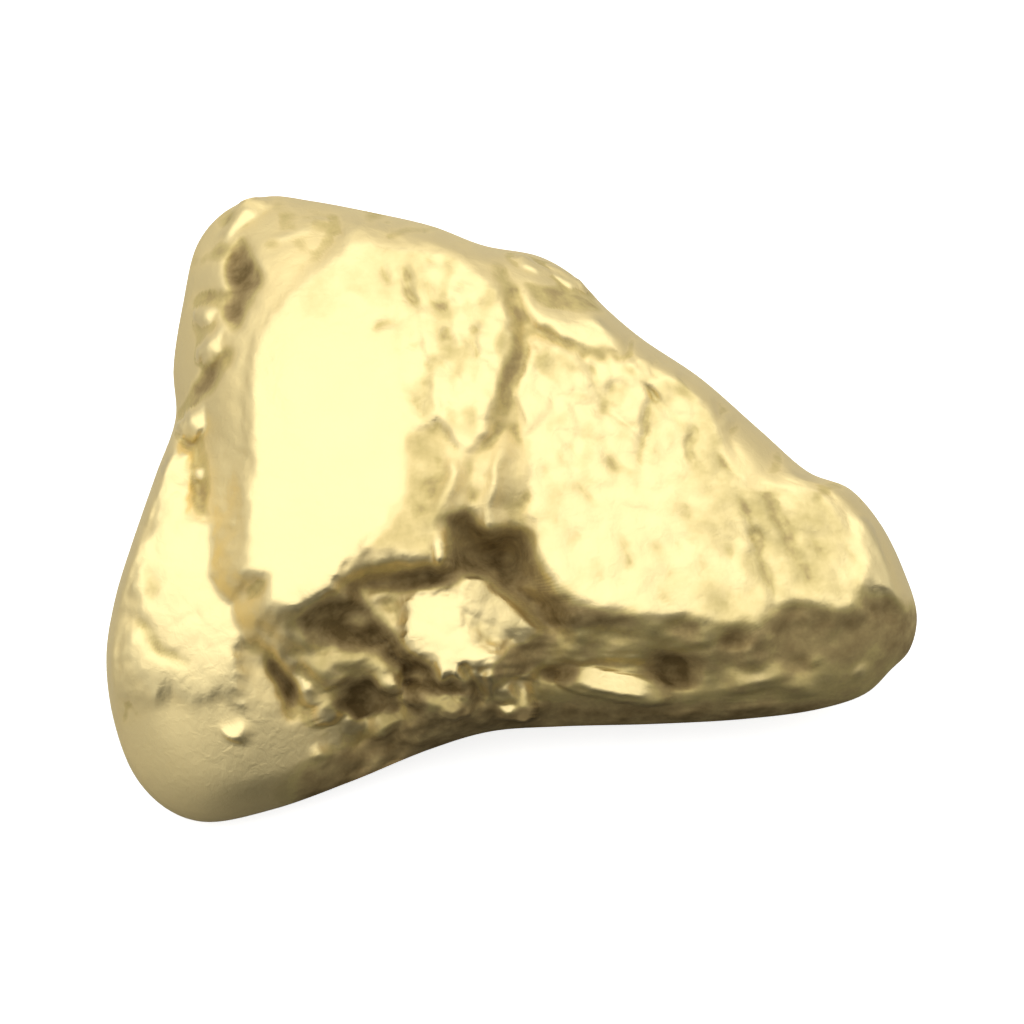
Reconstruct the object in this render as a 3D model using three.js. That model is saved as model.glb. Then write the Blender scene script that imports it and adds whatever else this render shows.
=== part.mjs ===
// A water-worn gold nugget lying on a table: one solid lump, in millimetres, +Z up.
//
// The lump is shaped in the frame of its show face, the side that looks out and upwards:
// u runs to the right along the face, v runs up it, and w comes straight out of it.
// A closed sheet, the rim, divides the show face from the underside. Blocks with flat worn
// facets stand on the rim, and the finished lump is leaned back onto its flat worn base.

import * as THREE from "three";
import { mergeVertices } from "three/addons/utils/BufferGeometryUtils.js";

const FACE_ELEVATION = THREE.MathUtils.degToRad(55); // how far above level the show face looks
const SURFACE_STEPS = 19; // cuts along each edge of the starting icosahedron
const FRONT_PART = 0.6; // share of the mesh, pole to pole, that covers the show face
const RIM_SLOPE = -0.3; // how far the rim sheet drops per mm up the show face
const RIM_BOW = 0.01; // bow of the rim sheet
const RIM_ROUND = 1.2; // width of the roll-over round the rim
const RIM_ROUND_LEFT = 0.5; // how much wider it is at the upper left
const RIM_ROUND_TOP = 0.45; // how much narrower it is along the top and the upper right
const BASE_DEPTH = 2.75; // the worn base lies this far below the middle of the face
const BASE_FILLET = 0.12; // rounding where the underside runs out onto the base
const BASE_CENTRE = [-0.6, -1.9]; // lowest part of the underside, on the show face
const UNDERSIDE_SAG = 0.4; // how far the underside would sag below the base if it weren't worn
const UNDERSIDE_BOW = [0.022, 0.034]; // how fast it curves up to the sides and to the back
const UNDERSIDE_LEAST = 0.9; // least depth of the underside below the rim sheet
const UNDERSIDE_ROUND = 3.0; // width of the roll-under below the rim

const FACE_CENTRE = [-1.6, -0.6];

// The rim as seen on the show face, anticlockwise from the right-hand tip: [u, v].
const RIM = [
  [8.12, -2.15], [7.87, -1.25], [7.38, -0.25], [6.75, 0.45], [6.02, 0.72], [5, 1.6], [3.8, 2.66],
  [2.6, 3.48], [1.9, 4.08], [1.28, 4.72], [0.55, 5.15], [-0.6, 5.38], [-1.65, 5.78], [-2.95, 6.08],
  [-4.1, 6.3], [-5, 6.4], [-5.82, 6.12], [-6.41, 5.45], [-6.71, 4.15], [-6.88, 2.85], [-6.82, 1.85],
  [-7.2, 0.7], [-7.65, -0.65], [-8, -1.85], [-8.15, -2.95], [-8, -4.2], [-7.55, -5.35], [-6.9, -6],
  [-6.15, -6.25], [-4.8, -6], [-3.25, -5.45], [-1.65, -4.8], [-0.45, -4.45], [0.95, -4.35], [2.85, -4.3],
  [4.65, -4.2], [6.15, -4], [7.1, -3.68], [7.6, -3.2], [7.95, -2.85],
];

// Rounded lumps that make the body: [u, v, reach along, reach across, turn in degrees, height].
// Height is measured from the rim sheet, and falls to nothing at the reach.
const LUMPS = [
  [-4.1, 1.6, 3.5, 7.2, 0, 3],
  [2.6, 0.4, 7.4, 4.6, -20, 2.5],
  [-6, -2.1, 3.6, 5.6, 8, 2.1],
  [-3.3, -0.9, 4.4, 4.1, 0, 2.8],
  [-0.2, 2.4, 3, 6.5, 0, 2.75],
  [-1.6, 0.6, 1.8, 2.2, 0, 3.15],
  [-0.6, 0.7, 2.9, 2.6, 0, 3.2],
  [2.8, -1.4, 9, 3.4, 0, 2.2],
];

// Hollows sunk into the show face, laid out like the lumps: the last number is the depth.
const HOLLOWS = [
  [-0.45, -0.9, 0.8, 0.45, 0, 0.6],
  [0.4, -1.7, 0.9, 0.35, -52, 0.4],
  [-2.1, -1.38, 1.1, 0.25, 5, 0.35],
  [-3.4, -2.3, 0.8, 0.45, -15, 0.4],
  [-2.7, -2.5, 0.75, 0.35, -42, 0.3],
  [-2.95, -3.7, 0.45, 0.42, -20, 0.36],
  [3.1, -3.2, 0.5, 0.4, 0, 0.45],
  [-5.5, 4.6, 0.35, 0.75, 8, 0.35],
  [-6.04, 2.68, 0.58, 0.22, 59, 0.25],
];

// Faces worn flat on top of the body. Each has a point on it [u, v, w], the degrees that its
// normal leans up the face and to the right, its bow up the face, the slope of its sides in
// degrees, the rounding of its edge, and its outline [u, v].
const WORN_FACES = {
  upperLeft: {
    at: [-3.45, 1.85, 2.42],
    lean: [25, -4],
    bow: 0.012,
    side: 60,
    round: 0.1,
    outline: [
      [-3.17, 5.5], [-4.1, 4.75], [-4.85, 3.95], [-5.1, 3.44], [-5.27, 2.4], [-5.15, 1.4], [-5.25, 0.3],
      [-5.3, -1.2], [-4.88, -1.38], [-4.84, -1.83], [-4.44, -2], [-3.9, -1.9], [-3.57, -1.56],
      [-3.25, -1.1], [-2.57, -0.5], [-2.45, -0.05], [-2.15, 0.3], [-2.15, 1.1], [-2, 1.55], [-1.57, 1.7],
      [-1.05, 1.12], [-0.6, 1.45], [-0.35, 2.2], [-0.1, 3.1], [-0.08, 3.75], [-0.25, 4.4], [-0.85, 4.95],
      [-1.6, 5.25], [-2.25, 5.3],
    ],
  },
  right: {
    at: [2.55, 0.25, 2.5],
    lean: [20, 8],
    bow: 0,
    side: 56,
    round: 0.1,
    outline: [
      [0.36, 3.2], [0.95, 3.3], [1.4, 3.05], [2.03, 2.97], [2.5, 2.97], [2.83, 2.7], [3.3, 2.77],
      [3.7, 2.44], [4.04, 1.71], [4.2, 1.25], [4.36, 0.93], [4.73, 0.42], [5.43, 0.6], [5.95, 0.5],
      [6.4, 0.1], [6.75, -0.3], [7.1, -1], [7.03, -1.7], [6.7, -1.96], [6.16, -1.96], [5.4, -1.88],
      [5.03, -2.03], [4.8, -2.5], [4.5, -2.25], [4.16, -2.2], [3.83, -2.36], [3.3, -2.1], [2.56, -2.13],
      [2.03, -1.96], [1.36, -1.96], [0.9, -1.63], [0.49, -1.03], [0.33, -0.36], [0.3, 0.65], [0.36, 1.64],
      [0.1, 2.25], [0.15, 2.85],
    ],
  },
  leftLobe: {
    at: [-6.45, -1.35, 2.5],
    lean: [19, -5],
    bow: 0.068,
    side: 50,
    round: 0.1,
    outline: [
      [-6.85, 1.25], [-6.5, 1.15], [-6.52, 0.64], [-6.42, -0.05], [-6.2, -0.28], [-5.92, -0.26],
      [-5.75, -0.8], [-5.8, -1.5], [-5.52, -2.15], [-5.42, -2.7], [-5.5, -3.3], [-5.6, -3.8],
      [-6.3, -3.85], [-6.7, -3.62], [-7.1, -3.75], [-7.5, -3.3], [-7.68, -2.9], [-7.62, -2.45],
      [-7.4, -2.3], [-7.54, -2.05], [-7.5, -1.8], [-7.62, -1.55], [-7.5, -0.95], [-7.22, -0.4],
      [-7.15, 0.25], [-7.08, 0.65],
    ],
  },
  shoulder: {
    at: [1.15, 3.6, 1.42],
    lean: [30, 10],
    bow: 0,
    side: 50,
    round: 0.1,
    outline: [
      [0.23, 4.3], [0.43, 4.04], [0.96, 3.84], [1.36, 3.84], [1.83, 3.84], [2.03, 3.5], [2.1, 3.17],
      [1.7, 3.17], [1.23, 3.3], [0.9, 3.5], [0.56, 3.7], [0.3, 3.97],
    ],
  },
  tip: {
    at: [7, -0.9, 2.22],
    lean: [20, 21],
    bow: 0,
    side: 50,
    round: 0.1,
    outline: [
      [6.6, 0.1], [7.15, -0.2], [7.5, -0.9], [7.65, -1.7], [7.3, -1.75], [6.8, -1.85], [6.9, -1],
    ],
  },
  window: {
    at: [-1.75, 0.6, 3],
    lean: [24, 6],
    bow: 0,
    side: 50,
    round: 0.1,
    outline: [
      [-2.15, 1.5], [-1.6, 1.72], [-1.3, 1.4], [-1.2, 0.9], [-1.25, 0.2], [-1.4, -0.4], [-1.45, -1],
      [-1.8, -0.95], [-2.4, -0.78], [-2.9, -0.75], [-2.6, -0.4], [-2.2, 0.2],
    ],
  },
  drapes: {
    at: [-0.35, 0.6, 2.78],
    lean: [20, 20],
    bow: 0,
    side: 55,
    round: 0.1,
    outline: [
      [-1.2, 0.9], [-1, 1.2], [-0.6, 1.5], [-0.4, 2.1], [-0.2, 2.6], [0.1, 2.6], [0.3, 1.7], [0.3, 0.6],
      [0.38, -0.6], [-0.05, -0.25], [-0.42, -0.4], [-0.6, -0.05], [-1.35, -0.1],
    ],
  },
  knob: {
    at: [-1.5, -2.4, 3.4],
    lean: [16, -3],
    bow: 0,
    side: 58,
    round: 0.1,
    outline: [
      [-2.28, -1.8], [-1.84, -1.62], [-1.1, -1.62], [-0.82, -1.25], [-0.9, -1.96], [-0.9, -2.4],
      [-0.6, -2.75], [-0.32, -2.75], [-0.45, -3.08], [-0.85, -3.36], [-1.42, -3.38], [-1.62, -2.95],
      [-1.85, -2.8], [-2.25, -2.55], [-2.15, -2.2],
    ],
  },
  knobSide: {
    at: [-0.3, -2.1, 3.08],
    lean: [10, 17],
    bow: 0,
    side: 58,
    round: 0.1,
    outline: [
      [-1, -1.35], [-0.6, -1.22], [-0.35, -1.62], [0.12, -1.95], [0.52, -2.36], [0.24, -2.66],
      [-0.1, -2.55], [-0.25, -2.8], [-0.5, -2.8], [-1, -2.6], [-1.1, -1.9],
    ],
  },
};
const MERGE_ROUND = 0.08; // rounding of the hollow where lumps and worn faces meet

const tan = (degrees) => Math.tan(THREE.MathUtils.degToRad(degrees));
const rimSheet = (v) => RIM_SLOPE * v - RIM_BOW * v * v;

function smoothMax(values, round) {
  const highest = Math.max(...values);
  const sum = values.reduce((total, value) => total + Math.exp((value - highest) / round), 0);
  return highest + round * Math.log(sum);
}

// Distance from [u, v] to an outline, negative inside it.
function beyondOutline(outline, u, v) {
  let nearest = Infinity;
  let inside = false;
  outline.forEach(([au, av], i) => {
    const [bu, bv] = outline[(i + 1) % outline.length];
    const along = ((u - au) * (bu - au) + (v - av) * (bv - av)) / ((bu - au) ** 2 + (bv - av) ** 2);
    const t = Math.min(1, Math.max(0, along));
    nearest = Math.min(nearest, Math.hypot(au + t * (bu - au) - u, av + t * (bv - av) - v));
    if (av > v !== bv > v && u < au + ((v - av) / (bv - av)) * (bu - au)) inside = !inside;
  });
  return inside ? -nearest : nearest;
}

function wornFaceHeight({ at, lean, bow, side, round, outline }, u, v) {
  const plane = at[2] - tan(lean[1]) * (u - at[0]) - tan(lean[0]) * (v - at[1]);
  const top = plane - bow * (v - at[1]) ** 2;
  const beyond = beyondOutline(outline, u, v);
  return top - tan(side) * smoothMax([beyond, 0], round);
}

function lumpHeight([cu, cv, along, across, turn, height], u, v) {
  const angle = THREE.MathUtils.degToRad(turn);
  const p = ((u - cu) * Math.cos(angle) + (v - cv) * Math.sin(angle)) / along;
  const q = ((v - cv) * Math.cos(angle) - (u - cu) * Math.sin(angle)) / across;
  return rimSheet(v) + height * (1 - p * p - q * q);
}

const blockHeights = (u, v) => [
  ...LUMPS.map((lump) => lumpHeight(lump, u, v)),
  ...Object.values(WORN_FACES).map((face) => wornFaceHeight(face, u, v)),
];

function hollowDepth([cu, cv, along, across, turn, depth], u, v) {
  const angle = THREE.MathUtils.degToRad(turn);
  const p = ((u - cu) * Math.cos(angle) + (v - cv) * Math.sin(angle)) / along;
  const q = ((v - cv) * Math.cos(angle) - (u - cu) * Math.sin(angle)) / across;
  return depth * Math.exp(-((p * p + q * q) ** 1.5));
}

function showFace(u, v) {
  const sunk = HOLLOWS.reduce((total, hollow) => total + hollowDepth(hollow, u, v), 0);
  return smoothMax(blockHeights(u, v), MERGE_ROUND) - sunk;
}

// The rim as a smooth closed curve, kept as distance from the face centre against angle.
function rimByAngle() {
  const corners = RIM.map(([u, v]) => new THREE.Vector3(u - FACE_CENTRE[0], v - FACE_CENTRE[1], 0));
  const curve = new THREE.CatmullRomCurve3(corners, true, "centripetal");
  const samples = curve.getPoints(720).slice(0, -1);
  return samples
    .map((p) => ({ angle: Math.atan2(p.y, p.x), reach: Math.hypot(p.x, p.y) }))
    .sort((a, b) => a.angle - b.angle);
}

const rimSamples = rimByAngle();

function rimReach(angle) {
  const next = rimSamples.findIndex((sample) => sample.angle >= angle);
  const after = rimSamples[next < 0 ? 0 : next];
  const before = rimSamples[next <= 0 ? rimSamples.length - 1 : next - 1];
  const turn = (from, to) => (to - from + 2 * Math.PI) % (2 * Math.PI);
  const gap = turn(before.angle, after.angle);
  const share = gap > 0 ? turn(before.angle, angle) / gap : 0;
  return before.reach + share * (after.reach - before.reach);
}

const rolledEdge = (inset, width) => Math.sqrt(Math.max(0, 1 - Math.max(0, 1 - inset / width) ** 2));

function frontSurface(u, v, share, reach) {
  const sheet = rimSheet(v);
  const height = Math.max(0.3, showFace(u, v) - sheet);
  const leftward = Math.max(0, Math.min(1, (-u - 3) / 3)) * Math.max(0, Math.min(1, (v + 1) / 2));
  const topRight = THREE.MathUtils.smoothstep(u, -5, -3.5) * THREE.MathUtils.smoothstep(v, 0, 1.5);
  const width = RIM_ROUND + RIM_ROUND_LEFT * leftward - RIM_ROUND_TOP * topRight;
  return sheet + rolledEdge((1 - share) * reach, width) * height;
}

// Broad swells and dents of the underside.
function unevenness(u, v) {
  const broad = Math.sin(0.9 * u + 0.6 * v + 1.3) * Math.sin(0.8 * v - 0.5 * u + 0.4);
  const fine = Math.sin(2.1 * u - 0.9 * v + 2.1) * Math.sin(1.9 * v + 1.1 * u);
  return 0.3 * broad + 0.12 * fine;
}

// Depth of the underside below the rim sheet: a shallow bowl that is level once leaned back.
function undersideDepth(u, v) {
  const bow = UNDERSIDE_BOW[0] * (u - BASE_CENTRE[0]) ** 2 + UNDERSIDE_BOW[1] * (v - BASE_CENTRE[1]) ** 2;
  const level = bow - BASE_DEPTH - UNDERSIDE_SAG;
  const bowl = (level - v * Math.cos(FACE_ELEVATION)) / Math.sin(FACE_ELEVATION);
  return smoothMax([rimSheet(v) - bowl + unevenness(u, v), UNDERSIDE_LEAST], 0.3);
}

// Turns a point of the unit sphere into a point of the lump, in the frame of the show face.
function onLump(direction) {
  const angle = Math.atan2(direction.y, direction.x);
  const fromPole = Math.acos(THREE.MathUtils.clamp(direction.z, -1, 1)) / Math.PI;
  const onFront = fromPole <= FRONT_PART;
  const quarter = onFront ? fromPole / FRONT_PART : (1 - fromPole) / (1 - FRONT_PART);
  const share = Math.min(1, Math.sin((quarter * Math.PI) / 2));
  const reach = rimReach(angle);
  const u = FACE_CENTRE[0] + share * reach * Math.cos(angle);
  const v = FACE_CENTRE[1] + share * reach * Math.sin(angle);
  const inset = (1 - share) * reach;
  const sheet = rimSheet(v);
  if (onFront) {
    return new THREE.Vector3(u, v, frontSurface(u, v, share, reach));
  }
  return new THREE.Vector3(u, v, sheet - undersideDepth(u, v) * rolledEdge(inset, UNDERSIDE_ROUND));
}

// Flattens everything below the base plane, with a small fillet round the flat.
function wornBase(z) {
  const above = z + BASE_DEPTH;
  if (above >= BASE_FILLET) return z;
  if (above <= -BASE_FILLET) return -BASE_DEPTH;
  return -BASE_DEPTH + (above + BASE_FILLET) ** 2 / (4 * BASE_FILLET);
}

function nuggetGeometry() {
  const sphere = new THREE.IcosahedronGeometry(1, SURFACE_STEPS);
  sphere.deleteAttribute("normal");
  sphere.deleteAttribute("uv");
  const geometry = mergeVertices(sphere, 1e-5);
  const position = geometry.getAttribute("position");
  const lean = new THREE.Matrix4().makeRotationX(Math.PI / 2 - FACE_ELEVATION);
  for (let i = 0; i < position.count; i += 1) {
    const place = onLump(new THREE.Vector3().fromBufferAttribute(position, i)).applyMatrix4(lean);
    position.setXYZ(i, place.x, place.y, wornBase(place.z));
  }
  geometry.computeBoundingBox();
  const { min, max } = geometry.boundingBox;
  geometry.translate(-(min.x + max.x) / 2, -(min.y + max.y) / 2, -min.z);
  geometry.computeVertexNormals();
  return geometry;
}

const gold = new THREE.MeshStandardMaterial({ color: 0xf9e3a4, roughness: 0.25, metalness: 1 });
const nugget = new THREE.Mesh(nuggetGeometry(), gold);
nugget.name = "nugget";

const lump = new THREE.Group();
lump.add(nugget);

export default lump;
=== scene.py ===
import itertools
import math

import bpy
import numpy as np
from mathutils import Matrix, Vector


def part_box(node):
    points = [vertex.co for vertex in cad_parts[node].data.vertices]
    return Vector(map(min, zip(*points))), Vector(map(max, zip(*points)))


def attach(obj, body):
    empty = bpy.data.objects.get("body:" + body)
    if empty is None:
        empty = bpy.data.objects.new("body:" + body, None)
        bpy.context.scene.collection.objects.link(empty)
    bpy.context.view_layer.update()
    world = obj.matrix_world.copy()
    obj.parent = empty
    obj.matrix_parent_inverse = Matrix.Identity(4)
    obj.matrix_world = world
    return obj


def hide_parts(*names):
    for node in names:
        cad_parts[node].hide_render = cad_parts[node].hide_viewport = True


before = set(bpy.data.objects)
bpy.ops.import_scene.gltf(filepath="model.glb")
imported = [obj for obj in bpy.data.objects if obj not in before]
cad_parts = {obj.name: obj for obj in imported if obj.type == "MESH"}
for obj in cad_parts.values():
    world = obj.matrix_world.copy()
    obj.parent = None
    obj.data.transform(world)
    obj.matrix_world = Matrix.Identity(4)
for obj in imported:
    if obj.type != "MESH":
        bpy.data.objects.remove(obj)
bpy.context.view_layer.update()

# A water-worn gold nugget on a pale table. The lump is shaped in the frame of its show face:
# u runs to the right along the face, v runs up it and w comes straight out of it, in millimetres.

MM = 0.001
FACE_ELEVATION = math.radians(55)  # how far above level the show face looks
FACE_CENTRE = (-1.6, -0.6)
RIM_ANGLE = 120  # degrees from the middle of the show face to the rim, on the starting ball
CENTRE_ANGLE, CENTRE_SHARE = 45, 0.494  # how much of the way out the first degrees reach
ROWS_DOWN, CUTS_COARSE, CUTS_FINE = 75, 9, 15  # rows down the cube's sides, and cuts across it

RIM_SLOPE, RIM_BOW = -0.3, 0.01  # how far the rim sheet drops up the face, and its bow
RIM_ROUND = 1.2  # width of the roll-over round the rim
RIM_ROUND_LEFT, RIM_ROUND_TOP = 0.5, 0.45  # how much wider it is at the left, and narrower at the top
FACE_ROUND = 0.45  # width of the roll-over where a worn face runs out at the rim
BASE_DEPTH, BASE_FILLET = 2.75, 0.12  # the worn base lies this far below the middle of the face
BASE_CENTRE = (-0.6, -1.9)  # lowest part of the underside
UNDERSIDE_SAG = 0.4  # how far the underside would sag below the base if it weren't worn
UNDERSIDE_BOW = (0.022, 0.034)  # how fast it curves up to the sides and to the back
UNDERSIDE_LEAST, UNDERSIDE_ROUND = 0.9, 3.0  # its least depth, and the roll-under below the rim

# How much soil lies over whole parts of the surface, from 0 for clean gold to 1; on the front wall, under
# edge, foot, top band and folds it is partly painted shade.
FRONT_WALL_SOIL_AND_SHADE, UNDER_EDGE_SOIL_AND_SHADE = 0.42, 0.18
FOOT_SOIL_AND_SHADE = 0.72
RIGHT_FACE_SOIL, UPPER_LEFT_SOIL = 0.32, 0.22
MOTTLED_SOIL, TOP_BAND_SOIL_AND_SHADE = 0.36, 0.46
STREAKED_SOIL = 0.34
FOLDED_SOIL_AND_SHADE = 0.35
DIP_SOIL_AND_SHADE, BROAD_DIP_SOIL_AND_SHADE, MOST_DIP_SOIL_AND_SHADE = 0.3, 0.15, 0.42
PROUD_POLISH = 0.5  # polish added where the surface stands proud

# The rim, anticlockwise from the right-hand tip: (u, v).
RIM = [
    (8.12, -2.15), (7.87, -1.25), (7.38, -0.25), (6.75, 0.45), (6.02, 0.72), (5.0, 1.6), (3.8, 2.66),
    (2.6, 3.48), (1.9, 4.08), (1.28, 4.72), (0.55, 5.15), (-0.6, 5.38), (-1.65, 5.78), (-2.95, 6.08),
    (-4.1, 6.3), (-5.0, 6.4), (-5.82, 6.12), (-6.41, 5.45), (-6.71, 4.15), (-6.88, 2.85), (-6.82, 1.85),
    (-7.2, 0.7), (-7.65, -0.65), (-8.0, -1.85), (-8.15, -2.95), (-8.0, -4.2), (-7.55, -5.35),
    (-6.9, -6.0), (-6.15, -6.25), (-4.8, -6.0), (-3.25, -5.45), (-1.65, -4.8), (-0.45, -4.45),
    (0.95, -4.35), (2.85, -4.3), (4.65, -4.2), (6.15, -4.0), (7.1, -3.68), (7.6, -3.2), (7.95, -2.85),
]

# Rounded lumps that make the body: centre (u, v), reach along and across, turn, height.
LUMPS = [
    (-4.1, 1.6, 3.5, 7.2, 0, 3.0),
    (2.6, 0.4, 7.4, 4.6, -20, 2.5),
    (-6.0, -2.1, 3.6, 5.6, 8, 2.1),
    (-3.3, -0.9, 4.4, 4.1, 0, 2.8),
    (-0.2, 2.4, 3.0, 6.5, 0, 2.75),
    (-1.6, 0.6, 1.8, 2.2, 0, 3.15),
    (-0.6, 0.7, 2.9, 2.6, 0, 3.2),
    (2.8, -1.4, 9.0, 3.4, 0, 2.2),
]

# Faces worn flat: a point on the face, lean up and right in degrees, slope of the sides,
# rounding of the edge, raggedness of the edge, and the outline.
WORN_FACES = {
    "upper left": dict(
        at=(-3.45, 1.85, 2.42), lean=(25, -4), side=56, round=0.06, ragged=0.07, bow=0.012,
        outline=[
            (-3.17, 5.5), (-4.1, 4.75), (-4.85, 3.95), (-5.1, 3.44), (-5.27, 2.4), (-5.15, 1.4),
            (-5.25, 0.3), (-5.3, -1.2), (-4.88, -1.38), (-4.84, -1.83), (-4.44, -2.0), (-3.9, -1.9),
            (-3.57, -1.56), (-3.25, -1.1), (-2.57, -0.5), (-2.45, -0.05), (-2.15, 0.3), (-2.15, 1.1),
            (-2.0, 1.55), (-1.57, 1.7), (-1.05, 1.12), (-0.6, 1.45), (-0.35, 2.2), (-0.1, 3.1),
            (-0.08, 3.75), (-0.25, 4.4), (-0.85, 4.95), (-1.6, 5.25), (-2.25, 5.3),
        ],
    ),
    "right": dict(
        at=(2.55, 0.25, 2.5), lean=(20, 8), side=52, round=0.05, ragged=0.14,
        outline=[
            (0.36, 3.2), (0.95, 3.3), (1.4, 3.05), (2.03, 2.97), (2.5, 2.97), (2.83, 2.7), (3.3, 2.77),
            (3.7, 2.44), (4.04, 1.71), (4.2, 1.25), (4.36, 0.93), (4.73, 0.42), (5.43, 0.6),
            (5.95, 0.5), (6.4, 0.1), (6.75, -0.3), (7.1, -1.0), (7.03, -1.7), (6.7, -1.96),
            (6.16, -1.96), (5.4, -1.88),
            (5.03, -2.03), (4.8, -2.5), (4.5, -2.25), (4.16, -2.2), (3.83, -2.36), (3.3, -2.1),
            (2.56, -2.13), (2.03, -1.96), (1.36, -1.96), (0.9, -1.63), (0.49, -1.03), (0.33, -0.36),
            (0.3, 0.65), (0.24, 1.64), (0.0, 2.25), (0.08, 2.85),
        ],
    ),
    "left lobe": dict(
        at=(-6.45, -1.35, 2.5), lean=(19, -5), side=50, round=0.1, ragged=0.12, bow=0.068, roll=0.25,
        outline=[
            (-6.85, 1.25), (-6.5, 1.15), (-6.52, 0.64), (-6.42, -0.05), (-6.2, -0.28), (-5.92, -0.26),
            (-5.75, -0.8), (-5.8, -1.5), (-5.52, -2.15), (-5.42, -2.7), (-5.5, -3.3), (-5.6, -3.8),
            (-6.3, -3.85), (-6.7, -3.62), (-7.1, -3.75), (-7.5, -3.3), (-7.68, -2.9), (-7.62, -2.45),
            (-7.4, -2.3), (-7.54, -2.05), (-7.5, -1.8), (-7.62, -1.55), (-7.5, -0.95), (-7.22, -0.4),
            (-7.15, 0.25), (-7.08, 0.65),
        ],
    ),
    "shoulder": dict(
        at=(1.15, 3.6, 1.42), lean=(30, 10), side=50, round=0.06, ragged=0.06,
        outline=[
            (0.23, 4.3), (0.43, 4.04), (0.96, 3.84), (1.36, 3.84), (1.83, 3.84), (2.03, 3.5),
            (2.1, 3.17), (1.7, 3.17), (1.23, 3.3), (0.9, 3.5), (0.56, 3.7), (0.3, 3.97),
        ],
    ),
    "tip": dict(
        at=(7.0, -0.9, 2.25), lean=(20, 17), side=55, round=0.15, ragged=0.08,
        outline=[
            (6.6, 0.1), (7.15, -0.2), (7.5, -0.9), (7.65, -1.7), (7.3, -1.75), (6.8, -1.85), (6.9, -1.0),
        ],
    ),
    "window": dict(
        at=(-1.75, 0.6, 3.0), lean=(24, 6), side=50, round=0.06, ragged=0.08, dull=0.3,
        outline=[
            (-2.15, 1.5), (-1.6, 1.72), (-1.3, 1.4), (-1.2, 0.9), (-1.25, 0.2), (-1.4, -0.4),
            (-1.45, -1.0), (-1.8, -0.95), (-2.4, -0.78), (-2.9, -0.75), (-2.6, -0.4), (-2.2, 0.2),
        ],
    ),
    "drapes": dict(
        at=(-0.35, 0.6, 2.78), lean=(20, 20), side=55, round=0.06, ragged=0.08, dull=0.16,
        outline=[
            (-1.2, 0.9), (-1.0, 1.2), (-0.6, 1.5), (-0.4, 2.1), (-0.2, 2.6), (0.1, 2.6), (0.3, 1.7),
            (0.3, 0.6), (0.38, -0.6), (-0.05, -0.25), (-0.42, -0.4), (-0.6, -0.05), (-1.35, -0.1),
        ],
    ),
    "knob": dict(
        at=(-1.5, -2.4, 3.4), lean=(16, -3), side=58, round=0.08, ragged=0.09,
        outline=[
            (-2.28, -1.8), (-1.84, -1.62), (-1.1, -1.62), (-0.82, -1.25), (-0.9, -1.96), (-0.9, -2.4),
            (-0.6, -2.75), (-0.35, -2.85), (-0.5, -3.1), (-0.95, -3.15), (-1.1, -3.36),
            (-1.45, -3.38), (-1.62, -2.95), (-1.85, -2.8), (-2.25, -2.55), (-2.15, -2.2),
        ],
    ),
    "knob side": dict(
        at=(-0.3, -2.1, 3.08), lean=(10, 17), side=58, round=0.08, ragged=0.08, dull=0.18,
        outline=[
            (-1.0, -1.35), (-0.6, -1.22), (-0.35, -1.62), (0.12, -1.95), (0.52, -2.36), (0.24, -2.66),
            (-0.1, -2.55), (-0.25, -2.8), (-0.5, -2.8), (-1.0, -2.6), (-1.1, -1.9),
        ],
    ),
}

# Hollows: centre (u, v), reach along and across, turn, depth, and how much soil and painted shade lies in
# them.
HOLLOWS = [
    (-0.98, -0.55, 0.3, 0.36, 0, 0.3, 0.75),
    (-0.55, -0.95, 0.7, 0.42, 0, 0.35, 0.72),
    (0.0, -0.8, 0.3, 0.5, -10, 0.3, 0.68),
    (0.25, -1.5, 0.8, 0.38, -52, 0.35, 0.72),
    (0.66, -2.1, 0.5, 0.26, -50, 0.3, 0.66),
    (-2.1, -1.38, 1.1, 0.2, 5, 0.4, 0.76),
    (-3.5, -2.25, 0.75, 0.42, -12, 0.36, 0.8),
    (-2.7, -2.5, 0.75, 0.3, -42, 0.36, 0.8),
    (-2.1, -3.1, 0.5, 0.2, -20, 0.3, 0.8),
    (-2.95, -3.72, 0.42, 0.4, -20, 0.36, 0.8),
    (-1.6, -3.52, 0.9, 0.16, 2, 0.26, 0.8),
    (-0.72, -3.8, 0.14, 0.3, 0, 0.15, 0.8),
    (3.12, -3.2, 0.48, 0.4, 0, 0.5, 1.0),
    (0.95, -3.24, 0.4, 0.25, 0, 0.4, 1.0),
    (2.0, -3.08, 0.6, 0.12, 0, 0.12, 0.8),
    (3.5, -2.35, 0.4, 0.2, 0, 0.12, 0.75),
    (4.35, -2.55, 0.3, 0.2, 0, 0.2, 0.9),
    (7.3, -1.95, 0.5, 0.25, -20, 0.12, 0.75),
    (5.8, -3.1, 0.25, 0.18, 0, 0.15, 0.85),
    (-5.45, 4.7, 0.34, 0.56, 8, 0.45, 0.85),
    (-5.6, 4.0, 0.24, 0.36, 20, 0.35, 0.85),
    (-6.05, 4.25, 0.4, 0.14, 10, 0.18, 0.75),
    (-5.52, 5.25, 0.14, 0.24, -10, 0.15, 0.7),
    (-5.8, 5.9, 0.18, 0.16, 0, 0.08, 0.6),
    (-6.04, 2.68, 0.58, 0.19, 55, 0.3, 0.95),
    (-6.22, 0.32, 0.12, 0.22, 14, 0.04, 0.62),
    (-5.05, -1.58, 0.2, 0.16, 30, 0.04, 0.5),
    (2.1, 2.37, 0.33, 0.2, 0, 0.06, 0.2),
]
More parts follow.
